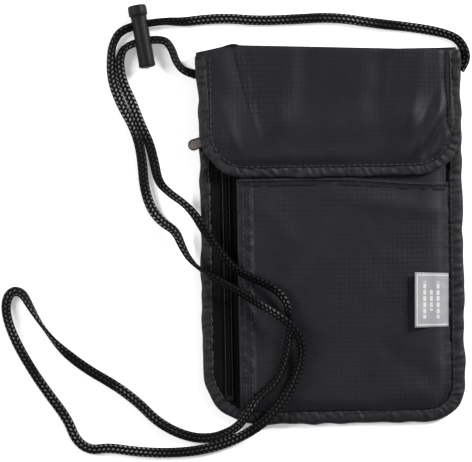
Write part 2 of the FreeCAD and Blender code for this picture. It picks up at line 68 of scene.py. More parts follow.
def box_mm(node):
    """Lowest and highest corner of a CAD node, in millimetres."""
    low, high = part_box(node)
    return np.array(low) / MM, np.array(high) / MM


# -------------------------------------------------------- places read from the frame
EDGE_LOW, EDGE_HIGH = box_mm("edge_binding")
LEFT, FOOT = EDGE_LOW[:2]
RIGHT, SEAM_TOP, BINDING_TOP = EDGE_HIGH
HEAD = box_mm("back_panel")[1][1]
FRONT_LOW, FRONT_HIGH = box_mm("front_panel")
FLAP_LOW, FLAP_HIGH = box_mm("flap_binding")
COIL_LOW, COIL_HIGH = box_mm("zip_coil_left")
LABEL_LOW, LABEL_HIGH = box_mm("woven_label")
ZIP_MIDDLE = (box_mm("zip_tape_left")[1][0] + box_mm("zip_tape_right")[0][0]) / 2
TAPE_TOP = COIL_LOW[2]
CORNER_LEFT, CORNER_RIGHT, FLAP_CORNER = 30.0, 20.0, 25.0
JOINTS = {j["name"]: j for j in frame["joints"]}
HINGE = np.array(JOINTS["flap_hinge"]["pos_m"]) / MM
UP = np.array((0.0, 0.0, 1.0))
# Sheets and turned pieces stay at least this far over the floor.
CLEARANCE = 0.03
# An outline is its left, its right, its foot and the radii of its two lower corners.
POUCH = (LEFT, RIGHT, FOOT, CORNER_LEFT, CORNER_RIGHT)
FLAP = (FLAP_LOW[0], FLAP_HIGH[0], FLAP_LOW[1], FLAP_CORNER, FLAP_CORNER)


# -------------------------------------------------------- camera, light and floor
def put(name, data):
    """A new object in the scene."""
    thing = bpy.data.objects.new(name, data)
    bpy.context.scene.collection.objects.link(thing)
    return thing


def set_inputs(node, values):
    for name, value in values.items():
        node.inputs[name].default_value = value


def make_camera():
    """Straight above, turned by a degree, with the pouch right of the middle."""
    centre, width, distance, roll = (-51.0, 3.6, 5.0), 251.0, 1200.0, -1.0
    data = bpy.data.cameras.new("camera")
    data.sensor_width = 36.0
    data.lens = data.sensor_width * distance / width
    camera = put("camera", data)
    camera.location = metres((centre[0], centre[1], centre[2] + distance))
    camera.rotation_euler = (0, 0, math.radians(roll))
    bpy.context.scene.camera = camera


def make_light(name, place, target, size, power):
    data = bpy.data.lights.new(name, "AREA")
    data.shape = "DISK"
    data.size = size
    data.energy = power
    lamp = put(name, data)
    lamp.location = place
    direction = Vector(target) - Vector(place)
    lamp.rotation_euler = direction.to_track_quat("-Z", "Y").to_euler()


def make_stage():
    world = bpy.data.worlds.new("studio")
    world.use_nodes = True
    set_inputs(world.node_tree.nodes["Background"], {"Color": (1, 1, 1, 1), "Strength": 0.26})
    bpy.context.scene.world = world
    make_light("key", (1.1, 0.7, 0.75), (-0.03, 0, 0), 0.45, 38.0)
    make_light("fill", (-1.1, 0.3, 0.85), (0, 0, 0), 0.7, 16.0)
    mesh = bpy.data.meshes.new("floor")
    half = 3.0
    corners = [(-half, -half, 0), (half, -half, 0), (half, half, 0), (-half, half, 0)]
    mesh.from_pydata(corners, [], [(0, 1, 2, 3)])
    floor = put("floor", mesh)
    floor.location.z = -0.2 * MM  # so that nothing shares the floor's plane
    nodes = Nodes("floor")
    set_inputs(nodes.shader, {"Base Color": (0.93, 0.93, 0.93, 1), "Roughness": 0.9,
                              "Emission Color": (1, 1, 1, 1), "Emission Strength": 0.3})
    floor.data.materials.append(nodes.material)
    bpy.context.scene.view_settings.view_transform = "Standard"


# -------------------------------------------------------- materials
class Nodes:
    """A material's node tree, with short ways to add arithmetic."""

    def __init__(self, name, sheen=0.0, sheen_roughness=0.5, metallic=0.0, specular=0.5):
        self.material = bpy.data.materials.new(name)
        self.material.use_nodes = True
        self.tree = self.material.node_tree
        self.shader = self.tree.nodes["Principled BSDF"]
        set_inputs(self.shader, {"Metallic": metallic, "Specular IOR Level": specular, "Sheen Weight": sheen,
                                 "Sheen Roughness": sheen_roughness})

    def add(self, kind, **settings):
        node = self.tree.nodes.new(kind)
        for name, setting in settings.items():
            setattr(node, name, setting)
        return node

    def feed(self, socket, source):
        if isinstance(source, (int, float)):
            socket.default_value = source
        else:
            self.tree.links.new(source, socket)

    def math(self, operation, first, second=0.0, third=0.0):
        node = self.add("ShaderNodeMath", operation=operation)
        for socket, source in zip(node.inputs, (first, second, third)):
            self.feed(socket, source)
        return node.outputs[0]

    def times(self, first, second):
        return self.math("MULTIPLY", first, second)

    def uv(self):
        """The piece's own cloth coordinates, in millimetres."""
        node = self.add("ShaderNodeUVMap", uv_map="cloth")
        split = self.add("ShaderNodeSeparateXYZ")
        self.feed(split.inputs[0], node.outputs[0])
        return [self.times(split.outputs[k], 1000.0) for k in range(2)]

    def noise(self, scale, detail=3.0):
        """Noise over the object's own space; scale is in waves per metre."""
        coordinates = self.add("ShaderNodeTexCoord")
        texture = self.add("ShaderNodeTexNoise")
        set_inputs(texture, {"Scale": scale, "Detail": detail})
        self.feed(texture.inputs["Vector"], coordinates.outputs["Object"])
        return texture.outputs[0]

    def wave(self, coordinate, pitch):
        """0 to 1 and back once in each pitch of millimetres."""
        turn = self.times(coordinate, 2 * math.pi / pitch)
        return self.math("MULTIPLY_ADD", self.math("SINE", turn), 0.5, 0.5)

    def step(self, value, low, high):
        """A smooth step from 0 at low to 1 at high."""
        ramp = self.add("ShaderNodeMapRange", interpolation_type="SMOOTHSTEP")
        self.feed(ramp.inputs["Value"], value)
        set_inputs(ramp, {"From Min": low, "From Max": high})
        return ramp.outputs[0]

    def line(self, coordinate, pitch, width):
        """1 on thin lines a pitch apart, 0 between them."""
        along = self.math("FRACT", self.math("DIVIDE", coordinate, pitch))
        off = self.math("ABSOLUTE", self.math("SUBTRACT", along, 0.5))
        return self.step(off, width / pitch, 0.4 * width / pitch)

    def colour(self, factor, low, high):
        """The base colour, mixed from two colours. The low one may be an earlier mix."""
        mix = self.add("ShaderNodeMix", data_type="RGBA")
        self.feed(mix.inputs[0], factor)
        if isinstance(low, bpy.types.Node):
            self.feed(mix.inputs[6], low.outputs[2])
        else:
            mix.inputs[6].default_value = (*low, 1)
        mix.inputs[7].default_value = (*high, 1)
        self.feed(self.shader.inputs["Base Color"], mix.outputs[2])
        return mix

    def roughen(self, factor, low, high):
        level = self.math("MULTIPLY_ADD", factor, high - low, low)
        self.feed(self.shader.inputs["Roughness"], level)

    def bump(self, height, millimetres, strength=1.0):
        node = self.add("ShaderNodeBump")
        set_inputs(node, {"Strength": strength, "Distance": millimetres * MM})
        self.feed(node.inputs["Height"], height)
        self.feed(self.shader.inputs["Normal"], node.outputs[0])


RIPSTOP_PITCH = 2.6
BRAID_COLUMN, BRAID_PITCH = 2.1, 2.5


def weave_height(nodes, u, v, pitch):
    """Plain weave: warp and weft threads that rise in turn."""
    warp = nodes.times(nodes.wave(u, pitch), nodes.wave(v, 2 * pitch))
    weft = nodes.times(nodes.wave(v, pitch), nodes.wave(u, 2 * pitch))
    return nodes.math("MAXIMUM", warp, weft)


def ripstop_material(name, tone):
    """Black nylon with a reinforcing grid of doubled threads."""
    nodes = Nodes(name, sheen=0.03, sheen_roughness=0.4, specular=0.20)
    u, v = nodes.uv()
    wobble = nodes.times(nodes.noise(70.0, 2.0), 0.6)
    grid = nodes.math("MAXIMUM", nodes.line(nodes.math("ADD", u, wobble), RIPSTOP_PITCH, 0.46),
                      nodes.line(nodes.math("ADD", v, wobble), RIPSTOP_PITCH, 0.46))
    patches = nodes.math("MULTIPLY_ADD", nodes.noise(34.0, 3.0), 2.4, -0.7)
    patchy = nodes.times(grid, nodes.math("MAXIMUM", patches, 0.05))
    cloud = nodes.noise(26.0, 4.0)
    # tone scales both colours; a tone above 1 is painted light, not a different cloth.
    low, high = np.array([(0.0034, 0.0030, 0.0045), (0.0082, 0.0073, 0.0102)]) * tone
    mix = nodes.colour(cloud, low, high)
    nodes.colour(nodes.times(patchy, 0.62), mix, (0.0012, 0.0011, 0.0015))
    nodes.roughen(nodes.math("MAXIMUM", nodes.times(cloud, 0.8), patchy), 0.46, 0.68)
    weave = weave_height(nodes, u, v, 0.32)
    nodes.bump(nodes.math("ADD", nodes.times(weave, 0.4), patchy), 0.055, 0.8)
    return nodes.material


def plain_cloth_material(name, low, high, pitch=0.32, sheen=0.2, roughness=(0.5, 0.7), specular=0.35):
    nodes = Nodes(name, sheen=sheen, sheen_roughness=0.4, specular=specular)
    u, v = nodes.uv()
    cloud = nodes.noise(90.0, 4.0)
    nodes.colour(cloud, low, high)
    nodes.roughen(cloud, *roughness)
    nodes.bump(weave_height(nodes, u, v, pitch), 0.06, 0.7)
    return nodes.material


def braid_material():
    """Flat braid: columns of yarn humps that lean in turn, with dull highlights on some stretches."""
    nodes = Nodes("braided_cord", sheen_roughness=0.4, specular=0.07)
    u, v = nodes.uv()
    across = nodes.math("DIVIDE", v, BRAID_COLUMN)
    column = nodes.math("FLOOR", across)
    odd = nodes.math("MODULO", nodes.math("ABSOLUTE", column), 2.0)
    aside = nodes.math("FRACT", across)
    lean = nodes.times(nodes.math("SUBTRACT", aside, 0.5), nodes.math("MULTIPLY_ADD", odd, 1.1, -0.55))
    shift = nodes.math("MULTIPLY_ADD", odd, 0.5, lean)
    along = nodes.math("ADD", nodes.math("DIVIDE", u, BRAID_PITCH), shift)
    hump = nodes.math("SINE", nodes.times(nodes.math("FRACT", along), math.pi))
    swell = nodes.math("SINE", nodes.times(aside, math.pi))
    height = nodes.times(nodes.math("SQRT", hump), nodes.math("SQRT", swell))
    glint = nodes.step(height, 0.72, 0.98)
    patch = nodes.math("MAXIMUM", nodes.math("MULTIPLY_ADD", nodes.noise(24.0, 2.0), 3.6, -1.55), 0.07)
    mix = nodes.colour(nodes.noise(400.0, 2.0), (0.0007, 0.0007, 0.0008), (0.0021, 0.0020, 0.0023))
    nodes.colour(nodes.times(glint, patch), mix, (0.24, 0.235, 0.24))
    nodes.roughen(height, 0.7, 0.45)
    nodes.bump(height, 0.34, 0.9)
    return nodes.material


def plastic_material(name, low, high, roughness):
    nodes = Nodes(name, specular=0.08)
    grain = nodes.noise(900.0, 3.0)
    nodes.colour(nodes.noise(120.0, 3.0), low, high)
    nodes.roughen(grain, *roughness)
    nodes.bump(grain, 0.03, 0.35)
    return nodes.material


def metal_material(name, low, high, roughness):
    nodes = Nodes(name, metallic=1.0)
    scratches = nodes.noise(1500.0, 5.0)
    nodes.colour(nodes.noise(220.0, 4.0), low, high)
    nodes.roughen(scratches, *roughness)
    nodes.bump(scratches, 0.02, 0.3)
    return nodes.material


def label_material():
    """Silver-grey satin with a woven border and plain bars, no lettering."""
    nodes = Nodes("woven_label", sheen=0.2, sheen_roughness=0.3, specular=0.4)
    u, v = nodes.uv()
    height = LABEL_HIGH[1] - LABEL_LOW[1]
    from_edge = nodes.math("MINIMUM", nodes.math("MINIMUM", v, nodes.math("SUBTRACT", height, v)), u)
    marks = nodes.math("LESS_THAN", nodes.math("ABSOLUTE", nodes.math("SUBTRACT", from_edge, 1.3)), 0.3)

    def band(coordinate, low, high):
        return nodes.times(nodes.math("GREATER_THAN", coordinate, low),
                           nodes.math("LESS_THAN", coordinate, high))

    for low, high, bottom, top in ((4.6, 6.2, 4.5, 24.0), (8.2, 9.8, 8.5, 20.0), (11.8, 13.4, 4.5, 24.0)):
        bar = nodes.times(band(u, low, high), band(v, bottom, top))
        dashes = nodes.math("GREATER_THAN", nodes.math("FRACT", nodes.math("DIVIDE", v, 3.25)), 0.22)
        marks = nodes.math("MAXIMUM", marks, nodes.times(bar, dashes))
    cloud = nodes.noise(140.0, 3.0)
    mix = nodes.colour(cloud, (0.205, 0.205, 0.212), (0.255, 0.255, 0.262))
    nodes.colour(marks, mix, (0.45, 0.45, 0.455))
    nodes.roughen(cloud, 0.5, 0.7)
    nodes.bump(nodes.math("ADD", weave_height(nodes, u, v, 0.24), marks), 0.05, 0.8)
    return nodes.material


# -------------------------------------------------------- mesh helpers
def smooth(low, high, t):
    s = np.clip((t - low) / (high - low), 0, 1)
    return s * s * (3 - 2 * s)


def unit(vectors):
    """Vectors, or one vector, at a length of 1."""
    return vectors / np.maximum(np.linalg.norm(vectors, axis=-1, keepdims=True), 1e-9)


def distances(points):
    """How far along a line of points each one lies."""
    return np.r_[0, np.cumsum(np.linalg.norm(np.diff(points, axis=0), axis=1))]


def cloth_noise(x, y, wave, seed):
    """Soft noise, mostly from -1 to 1, with the given wavelength in millimetres."""
    x, y = np.broadcast_arrays(x, y)
    flat = [noise.noise(Vector((a / wave, b / wave, seed))) for a, b in zip(x.ravel(), y.ravel())]
    return 2.0 * np.array(flat).reshape(x.shape)


def line_places(x, y, start, end):
    """The length of a line, and how far points lie along it and across it."""
    start, end = np.array(start, float), np.array(end, float)
    length = np.linalg.norm(end - start)
    c, t = (end - start) / length
    x, y = x - start[0], y - start[1]
    return length, x * c + y * t, y * c - x * t


def ridges(x, y, folds):
    """Soft ridges along lines, given as start, end, width and height. A negative height is a furrow."""
    total = 0.0
    for start, end, width, height in folds:
        length, s, across = line_places(x, y, start, end)
        fade = smooth(-0.25 * length, 0.2 * length, s) * (1 - smooth(0.8 * length, 1.25 * length, s))
        total = total + height * fade * np.exp(-((across / width) ** 2))
    return total


def tent(x, y, start, end, left, right, height):
    """A fold with a crest along a line and slopes of different widths on its two sides."""
    length, s, across = line_places(x, y, start, end)
    slope = np.where(across > 0, 1 - across / right, 1 + across / left)
    fade = smooth(-0.2 * length, 0.05 * length, s) * (1 - smooth(0.55 * length, 1.15 * length, s))
    return height * fade * np.sqrt(np.maximum(slope, 0) ** 2 + 0.02) * (slope > -0.5)


def new_object(name, vertices, faces, material, uvs):
    mesh = bpy.data.meshes.new(name)
    mesh.from_pydata([tuple(v) for v in metres(vertices)], [], faces)
    layer = mesh.uv_layers.new(name="cloth")
    index = np.zeros(len(mesh.loops), int)
    mesh.loops.foreach_get("vertex_index", index)
    layer.data.foreach_set("uv", metres(uvs)[index].astype(np.float32).ravel())
    mesh.polygons.foreach_set("use_smooth", [True] * len(mesh.polygons))
    mesh.materials.append(material)
    mesh.update()
    return put(name, mesh)


def slab(name, points, uvs, thickness, material):
    """A closed sheet: the grid of points is its upper face, and it is one thickness deep."""
    rows, columns = points.shape[:2]
    normals = unit(np.cross(np.gradient(points, axis=1), np.gradient(points, axis=0)))
    lower = points - normals * thickness
    lower[..., 2] = np.maximum(lower[..., 2], CLEARANCE)
    count = rows * columns
    index = np.arange(count).reshape(rows, columns)
    faces = []
    for a, b, c, d in zip(index[:-1, :-1].ravel(), index[:-1, 1:].ravel(), index[1:, 1:].ravel(),
                          index[1:, :-1].ravel()):
        faces.append((a, b, c, d))
        faces.append((d + count, c + count, b + count, a + count))
    rim = [*index[0, :], *index[1:, -1], *index[-1, -2::-1], *index[-2:0:-1, 0]]
    for a, b in zip(rim, rim[1:] + rim[:1]):
        faces.append((b, a, a + count, b + count))
    vertices = np.concatenate([points.reshape(-1, 3), lower.reshape(-1, 3)])
    return new_object(name, vertices, faces, material, np.tile(uvs.reshape(-1, 2), (2, 1)))


def ring_faces(count, sides, base=0):
    """The faces of a closed skin over rings of points that are numbered from base."""
    rings = (base + np.arange(count * sides)).reshape(count, sides).tolist()
    faces = []
    for here, after in zip(rings[:-1], rings[1:]):
        for k in range(sides):
            m = (k + 1) % sides
            faces.append((here[k], here[m], after[m], after[k]))
    return [*faces, rings[0][::-1], rings[-1]]


def tube(name, rings, uvs, material):
    """A closed skin over rings of points, ring after ring."""
    faces = ring_faces(*rings.shape[:2])
    return new_object(name, rings.reshape(-1, 3), faces, material, uvs.reshape(-1, 2))


def circle(axis, sides):
    """Angles and points of a circle of radius 1 that is square to an axis."""
    side = unit(np.cross(axis, UP))
    angles = np.linspace(0, 2 * math.pi, sides, endpoint=False)
    return angles, np.outer(np.cos(angles), side) + np.outer(np.sin(angles), np.cross(side, axis))


def capsule(start, end, radius):
    """Rings of a rod with rounded ends."""
    start, end = np.array(start, float), np.array(end, float)
    along = unit(end - start)
    rim = circle(along, 6)[1]
    rings = []
    for base, sign, tilts in ((start, -1, (80, 40, 0)), (end, 1, (0, 40, 80))):
        for tilt in np.radians(tilts):
            rings.append(base + radius * (sign * along * math.sin(tilt) + rim * math.cos(tilt)))
    return np.array(rings)


def rods(name, segments, radius, material):
    """Many short rounded rods as one piece, such as a row of stitches."""
    vertices, faces, uvs = [], [], []
    for start, end in segments:
        rings = capsule(start, end, radius)
        count, sides = rings.shape[:2]
        faces += ring_faces(count, sides, len(vertices) * count * sides)
        vertices.append(rings.reshape(-1, 3))
        uvs.append(np.stack(np.meshgrid(np.arange(sides) * 0.2, np.arange(count) * 0.3), -1).reshape(-1, 2))
    return new_object(name, np.concatenate(vertices), faces, material, np.concatenate(uvs))


def resample(points, step):
    """A polyline's points, evenly spaced."""
    points = np.asarray(points, float)
    length = distances(points)
    at = np.linspace(0, length[-1], max(2, int(round(length[-1] / step)) + 1))
    return np.stack([np.interp(at, length, points[:, k]) for k in range(points.shape[1])], 1), at


def stitch_row(name, plan, height, material, pitch=3.2, share=0.62, radius=0.27):
    """Stitches along a plan line, laid on a surface of the given height."""
    points = resample(plan, pitch)[0]
    segments = []
    for a, b in zip(points[:-1], points[1:]):
        end = a + (b - a) * share
        segments.append(((*a, height(*a) + radius * 0.5), (*end, height(*end) + radius * 0.5)))
    return rods(name, segments, radius, material)


def settle(piece, body, slot, *nodes):
    """Names a piece's body and hides the CAD nodes that it replaces. The slot, its kind of material, is not
    used.
    """
    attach(piece, body)
    if nodes:
        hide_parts(*nodes)


def u_path(insets, top, outline, step=1.0):
    """The plan line down the left side, along the foot and up the right side, inside an outline."""
    left, right, foot, left_radius, right_radius = outline
    x0, y0, x1 = left + insets[0], foot + insets[1], right - insets[2]
    r0, r1 = max(left_radius - insets[0], 3.0), max(right_radius - insets[2], 3.0)
    points = [(x0, top)]
    for centre, radius, first in (((x0 + r0, y0 + r0), r0, 180), ((x1 - r1, y0 + r1), r1, 270)):
        for angle in np.radians(np.linspace(first, first + 90, 24)):
            points.append((centre[0] + radius * math.cos(angle), centre[1] + radius * math.sin(angle)))
    points.append((x1, top))
    return resample(points, step)[0]


def span(y, outline, inset):
    """The outline's left and right x at a height y, brought in by an inset."""
    left, right, foot, *radii = outline
    bows = []
    for radius in radii:
        reach = radius - inset
        below = np.clip(foot + radius - y, 0, reach)
        bows.append(reach - np.sqrt(np.maximum(reach ** 2 - below ** 2, 0)))
    return left + inset + bows[0], right - inset - bows[1]


def rows_of(low, high, radius, step):
    """Rows from low to high, closer together where a corner of the given radius curves in."""
    angles = np.linspace(0, math.pi / 2, max(8, int(radius * 1.5 / step)))
    curved = low + radius * (1 - np.cos(angles))
    straight = np.linspace(low + radius, high, max(2, int((high - low - radius) / step)))
    return np.unique(np.r_[curved[:-1], straight])


# -------------------------------------------------------- heights of the cloth
def seam_distance(x, y, outline):
    """How far inside the outline a point is."""
    left, right, foot, *radii = outline
    distance = np.minimum(np.minimum(x - left, right - x), y - foot)
    for side, radius in zip((-1, 1), radii):
        cx = left + radius if side < 0 else right - radius
        cy = foot + radius
        inside = ((x - cx) * side > 0) & (y < cy)
        distance = np.where(inside, radius - np.hypot(x - cx, y - cy), distance)
    return distance


def creases(x, y, angle, across, along, seed):
    """Long soft creases from -1 to 1 that run at an angle, in degrees, to the x axis."""
    c, t = math.cos(math.radians(angle)), math.sin(math.radians(angle))
    run, over = x * c + y * t, -x * t + y * c
    return cloth_noise(run * across / along, over, across, seed)


# Where the filled front starts to rise, a little outside the pouch.
FRONT_OUTLINE = (LEFT - 2.0, RIGHT - 2.4, FOOT - 0.4, CORNER_LEFT, CORNER_RIGHT)
# Slack folds of the front: start, end, width and height.
FRONT_FOLDS = [
    ((-30, -92), (-6, -40), 9, 0.9), ((-44, -70), (-22, -20), 6, -0.5), ((-10, -20), (30, 22), 14, 1.0),
    ((50, -80), (20, -92), 7, 0.8), ((30, -60), (58, -86), 6, -0.6), ((0, 22), (56, 12), 5, 0.7),
    ((56, 8), (40, -10), 5, -0.5), ((-40, 22), (-20, -4), 6, 0.6), ((60, -66), (52, -92), 3.5, 0.8),
    ((-34, -86), (20, -90), 3.0, 0.5),
]


def front_height(x, y):
    """Top face of the front panel: rises from the seams, with slack folds."""
    x, y = np.broadcast_arrays(x, y)
    d = seam_distance(x, y, FRONT_OUTLINE) - 6.2
    rise = 1 - np.exp(-np.maximum(d, 0) / 3.6)
    z = 2.6 + 4.4 * rise + ridges(x, y, FRONT_FOLDS)
    z += 0.75 * (1 - smooth(-43.0, -41.4, x)) * smooth(-92, -80, y)
    slack = 0.5 * creases(x, y, 62, 26.0, 60.0, 1.7) + 0.12 * cloth_noise(x, y, 12.0, 4.2)
    z += 0.35 * (1 - smooth(-43.0, -41.0, x)) * cloth_noise(x, y, 2.8, 6.1)
    z += rise * (slack + 0.06 * cloth_noise(x, y, 5.0, 8.8))
    z += 0.28 * np.exp(-np.maximum(d, 0) / 4.0) * cloth_noise(x, y, 3.4, 2.2)
    return z


def fold_line(x):
    """How far the flap's top fold lies beyond or short of the pouch's head, across the width."""
    return np.interp(x, (-70, -61, -50, -45, 70), (-0.9, 1.0, 3.4, 2.8, -1.6))


# The open flap lies over the neck cord, so near the fold its folds stay below this height.
FLAP_CEILING = 10.0
# Folds of the flap as it lies closed: start, end, width and height. The upper ones fade out lower down.
FLAP_FOLDS = [
    ((-62, 92), (-56, 60), 4.0, -1.0), ((-24, 97), (-27, 60), 6.0, 0.8), ((40, 98), (34, 60), 6.0, 0.9),
    ((50, 97), (42, 58), 4.5, 1.8), ((63.6, 98), (64.6, 58), 1.0, 2.2), ((61.2, 98), (62.2, 60), 1.6, -1.5),
    ((60, 70), (44, 44), 3.4, 1.7), ((60, 60), (50, 42), 2.2, -1.2), ((60, 84), (50, 62), 3.0, -1.0),
    ((62, 54), (56, 42), 1.8, 1.0), ((-44, 42), (14, 43), 3.4, 0.6), ((-60, 74), (-50, 46), 4.0, 0.9),
]
UPPER_FOLDS = [((-8, 99), (-13, 50), 8.0, -1.5), ((30, 99), (22, 56), 7.0, -1.5)]


def flap_spread(x, y):
    """How far the flap's cloth bulges outwards near its fold."""
    return -1.5 * smooth(62, 98, y) * (1 - smooth(-66, -20, x))


def flap_height(x, y):
    """Top face of the closed flap."""
    x, y = np.broadcast_arrays(x, y)
    d = seam_distance(x, y, FLAP)
    folds = tent(x, y, (-50, 101), (-38, 50), 15.0, 4.0, -3.0) + ridges(x, y, FLAP_FOLDS)
    folds += ridges(x, y, UPPER_FOLDS) * smooth(46, 92, y)
    folds += 0.3 * creases(x, y, 84, 15.0, 60.0, 9.3) + 0.1 * cloth_noise(x, y, 9.0, 2.6)
    folds += 0.2 * np.exp(-np.maximum(d - 5.0, 0) / 3.5) * cloth_noise(x, y, 3.3, 5.1)
    z = 10.0 - 1.4 * smooth(56, 76, y) - 1.5 * np.exp(-np.maximum(d - 4.5, 0) / 4.0)
    z += np.where(folds < 0, folds, folds * (1 - 0.55 * smooth(60, 78, y)))
    spare = z - FLAP_CEILING
    capped = FLAP_CEILING + (spare - np.sqrt(spare ** 2 + 0.1)) / 2
    return z + (capped - z) * smooth(70, 76, y)


# -------------------------------------------------------- pouch pieces
# How far the front panel and the zip's tapes stop short of the pouch's outline.
SEAM_INSET = 3.0
# Columns of the front near its folded edge, as distances from that edge.
EDGE_COLUMNS = np.array((0.0, 0.5, 1.2, 2.2, 3.4, 4.8, 6.4, 7.6, 8.0, 8.5))
# The turned mouth in section: distances beyond its line, and heights over the cloth.
HEM_SECTION = [(-4.0, 0.0), (-3.2, 0.06), (-2.2, 0.12), (-1.2, 0.3), (-0.5, 0.62), (0.1, 0.62), (0.45, 0.3),
               (0.5, -0.2)]


def mouth_sag(x):
    """How far the slip pocket's mouth hangs down towards the right."""
    return 3.6 * smooth(-5, 60, x)


def make_front_panel(cloth):
    """The slip pocket's front, with its folded edge standing over the zip."""
    points, uvs = [], []
    for y in rows_of(FOOT + SEAM_INSET, FRONT_HIGH[1] + 1.0, CORNER_RIGHT, 1.6):
        start, end = span(y, POUCH, SEAM_INSET)
        start = max(FRONT_LOW[0], start)
        x = np.r_[start + EDGE_COLUMNS, np.linspace(start + 9.5, end, 74)]
        place = y - mouth_sag(x) * np.clip((y - FRONT_HIGH[1] + 6.0) / 7.0, 0, 1)
        row = np.stack([x, place, front_height(x, place)], 1)
        under = [row[0] + (0.5, 0, -2.6), row[0] + (-0.1, 0, -1.5), row[0] + (-0.35, 0, -0.6)]
        row = np.concatenate([under, row])
        row[:, 2] = np.maximum(row[:, 2], 1.2)
        points.append(row)
        uvs.append(np.stack([row[:, 0], np.full(len(row), y)], 1))
    piece = slab("front_panel_cloth", np.array(points), np.array(uvs), 0.5, cloth)
    settle(piece, "pouch", "ripstop", "front_panel")


def make_front_hem(cloth, thread):
    """The turned edge along the slip pocket's mouth."""
    x = np.linspace(FRONT_LOW[0] + 1, RIGHT - 7.5, 90)
    top = FRONT_HIGH[1] + 0.9 - mouth_sag(x)
    rows = []
    for offset, lift in HEM_SECTION:
        y = top + offset
        rows.append(np.stack([x, y, front_height(x, y) + lift + 0.1 * cloth_noise(x, y, 5.0, 8.0)], 1))
    points = np.array(rows)
    piece = slab("front_hem_cloth", points, points[..., :2], 0.4, cloth)
    settle(piece, "pouch", "ripstop", "front_hem")
    plan = np.stack([x, top - 0.8], 1)
    row = stitch_row("hem_stitches", plan, lambda a, b: front_height(a, b) + 0.55, thread, 1.5, 0.6, 0.24)
    settle(row, "pouch", "binding_tape")


def make_front_edge_stitches(thread):
    """Two rows of stitches along the slip pocket's folded edge."""
    for number, offset in enumerate((3.0, 6.4)):
        x = FRONT_LOW[0] + offset
        row = stitch_row(f"front_edge_stitches_{number}", [(x, FOOT + 9), (x, FRONT_HIGH[1] - 4)],
                         front_height, thread, 2.8)
        settle(row, "pouch", "ripstop")


# The binding tape in section: distances inwards from the edge, up to its width of 5, and heights.
C_SECTION = [
    (5.0, 3.15), (4.3, 3.5), (3.0, 3.66), (1.6, 3.6), (0.6, 3.2), (0.08, 2.4), (0.0, 1.5), (0.2, 0.7),
    (0.9, 0.2), (2.4, 0.0), (5.0, 0.0), (5.0, 0.4), (2.4, 0.45), (1.1, 0.7), (0.6, 1.5), (0.75, 2.5),
    (1.6, 3.05), (3.0, 3.15), (4.3, 3.0), (5.0, 2.75),
]


def make_binding(name, path, section, widths, material, wrinkle, height_at=None):
    """A folded tape round an edge: its section runs along the path."""
    tangent = unit(np.gradient(path, axis=0))
    inward = np.stack([-tangent[:, 1], tangent[:, 0]], 1)
    at = distances(path)
    section = np.array(section)
    around = distances(section)
    rings, uvs = [], []
    for i, (point, side) in enumerate(zip(path, inward)):
        reach = section[:, 0] * widths[i] / section[0, 0]
        run = at[i] + 0.45 * reach
        pucker = np.sin(2 * math.pi * run / 3.1 + 5.0 * float(cloth_noise(at[i], 0.0, 14.0, 1.3)))
        pucker = 0.22 * pucker + 1.3 * cloth_noise(run, reach * 0.8, 2.6, 3.1)
        pucker *= wrinkle * smooth(0.2, 1.8, section[:, 0])
        top = section[:, 1] > section[:, 1].mean()
        edge = cloth_noise(at[i], 0.0, 9.0, 6.6) * wrinkle
        xy = point + np.outer(reach + edge * (section[:, 0] < 2), side)
        z = section[:, 1] + np.where(top, pucker, 0)
        if height_at is not None:
            z = z + height_at(*point)
        rings.append(np.column_stack([xy, z]))
        uvs.append(np.column_stack([np.full(len(section), at[i]), around]))
    return tube(name, np.array(rings), np.array(uvs), material)


def make_edge_binding(tape, thread):
    path = u_path((0, 0, 0), SEAM_TOP, POUCH, 0.6)
    share = np.linspace(0, 1, len(path))
    widths = np.interp(share, (0, 0.36, 0.46, 0.62, 0.72, 1), (6.0, 6.0, 7.0, 7.2, 7.0, 7.0))
    piece = make_binding("edge_binding_tape", path, C_SECTION, widths, tape, 0.42)
    settle(piece, "pouch", "binding_tape", "edge_binding")
    rows = u_path((5.0, 6.0, 6.0), SEAM_TOP - 1, POUCH)
    row = stitch_row("edge_stitches", rows, lambda x, y: BINDING_TOP - 0.05, thread)
    settle(row, "pouch", "binding_tape")


def outline_grid(inset, foot, top, step, columns, left=LEFT):
    """Rows of points across the pouch between its two sides, or from a line at left."""
    grid = []
    for y in rows_of(foot, top, CORNER_LEFT, step):
        start, end = span(y, POUCH, inset)
        x = np.linspace(max(start, left), end, columns)
        grid.append(np.stack([x, np.full(columns, y)], 1))
    return np.array(grid)


def make_back_panel(cloth):
    plan = outline_grid(2.0, FOOT + 2.0, HEAD - 0.4, 2.0, 90)
    x, y = plan[..., 0], plan[..., 1]
    d = seam_distance(x, y, POUCH)
    z = 0.72 + 0.75 * (1 - smooth(4.5, 11.0, d)) + 0.06 * cloth_noise(x, y, 22.0, 5.5)
    piece = slab("back_panel_cloth", np.dstack([x, y, z]), plan, 0.5, cloth)
    settle(piece, "pouch", "ripstop", "back_panel")


def inner_sheet(name, node, slot, cloth, left, top_z, foot):
    """A panel inside the pouch: flat over the filled middle, down to the seams at its sides."""
    plan = outline_grid(2.5, foot, SEAM_TOP - 2.0, 2.2, 80, left)
    x, y = plan[..., 0], plan[..., 1]
    side = np.minimum(seam_distance(x, y, POUCH) - 4.0, (x - left) + 1.0)
    z = 1.9 + (top_z - 1.9) * (1 - np.exp(-np.maximum(side, 0) / 3.0))
    z = np.minimum(z + 0.06 * cloth_noise(x, y, 24.0, top_z), front_height(x, y) - 7.2 + top_z)
    piece = slab(name, np.dstack([x, y, z]), plan, 0.4, cloth)
    settle(piece, "pouch", slot, node)


def make_inner_panels(cloth, lining):
    inner_sheet("pocket_backing_cloth", "pocket_backing", "ripstop", cloth,
                box_mm("pocket_backing")[0][0] + 1.5, 6.3, FOOT + 8)
    inner_sheet("divider_lining", "divider_panel", "lining", lining, LEFT + 24.0, 5.3, FOOT + 9)


